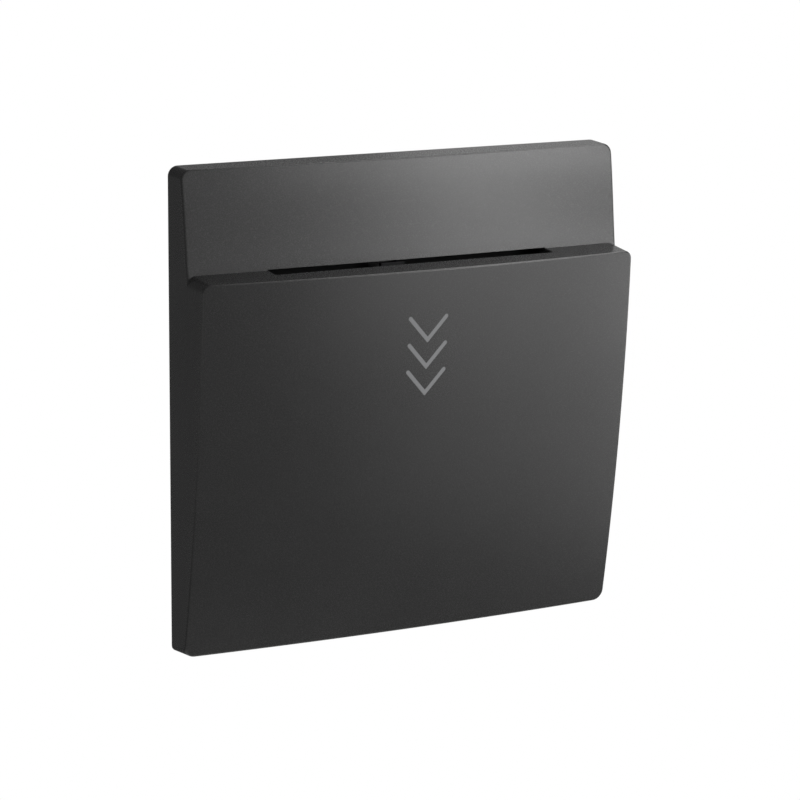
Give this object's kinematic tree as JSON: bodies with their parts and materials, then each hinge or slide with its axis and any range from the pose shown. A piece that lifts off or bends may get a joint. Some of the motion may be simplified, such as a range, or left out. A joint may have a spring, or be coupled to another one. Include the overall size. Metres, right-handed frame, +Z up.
{
  "type": "hotel key card switch",
  "caption": "Square wall switch that a hotel key card is pushed into: domed cover with a card slot and chevrons, lever and microswitch inside, and a housing that goes into the wall.",
  "frame": {"origin": "on the wall plane, midway between the two fixing holes, which is the middle of the plate", "axes": "+Z up, +X to the right as one faces the switch, +Y into the wall, so the cover faces -Y"},
  "size_m": [0.086, 0.0432, 0.086],
  "materials": {
    "cover_black": "matte moulded",
    "lens_grey": "translucent moulded",
    "plated_steel": "zinc plated",
    "frame_black": "black coated steel",
    "grommet_rubber": "matte",
    "guide_grey": "matte moulded",
    "housing_black": "matte moulded",
    "lever_black": "matte moulded",
    "switch_blue": "moulded",
    "plunger_red": "moulded",
    "board_green": "solder mask",
    "relay_black": "moulded",
    "film_red": "dipped",
    "can_sleeve": "shrink sleeve over the can",
    "chip_black": "moulded",
    "led_white": "moulded",
    "pipe_clear": "clear acrylic",
    "block_white": "moulded",
    "clamp_brass": "machined"
  },
  "bodies": {
    "chassis": {"support_frame": "frame_black", "cover_grommets": "grommet_rubber", "card_guide": "guide_grey", "assembly_screws": "plated_steel", "rear_housing": "housing_black", "lever_pin": "plated_steel", "lever_spring": "plated_steel", "microswitch_body": "switch_blue", "circuit_board": "board_green", "board_screws": "plated_steel", "component_leads": "plated_steel", "relay": "relay_black", "film_capacitor": "film_red", "electrolytic_capacitor": "can_sleeve", "controller_chip": "chip_black", "indicator_led": "led_white", "light_pipe": "pipe_clear", "terminal_block": "block_white", "terminal_clamps": "clamp_brass", "terminal_screws": "plated_steel"},
    "cover": {"front_cover": "cover_black", "chevron_lens": "lens_grey"},
    "lever": {"card_lever": "lever_black"},
    "plunger": {"switch_plunger": "plunger_red"}
  },
  "joints": [
    {"name": "cover_pull_off", "type": "slide", "parent": "chassis", "child": "cover", "axis": [0, -1, 0], "range_m": [0, 0.03]},
    {"name": "lever_swing", "type": "hinge", "parent": "chassis", "child": "lever", "pos_m": [-0.0032, -0.0036, -0.006], "axis": [-1, 0, 0], "range_deg": [0, 8], "stiffness_Nm_per_rad": 0.01, "springref_deg": -5.73, "deforming": ["lever_spring"]},
    {"name": "plunger_travel", "type": "slide", "parent": "chassis", "child": "plunger", "axis": [0, 1, 0], "range_m": [0, 0.0011]}
  ],
  "couplings": [
    {"joint": "plunger_travel", "follows": "lever_swing", "m_per_rad": 0.0078}
  ]
}
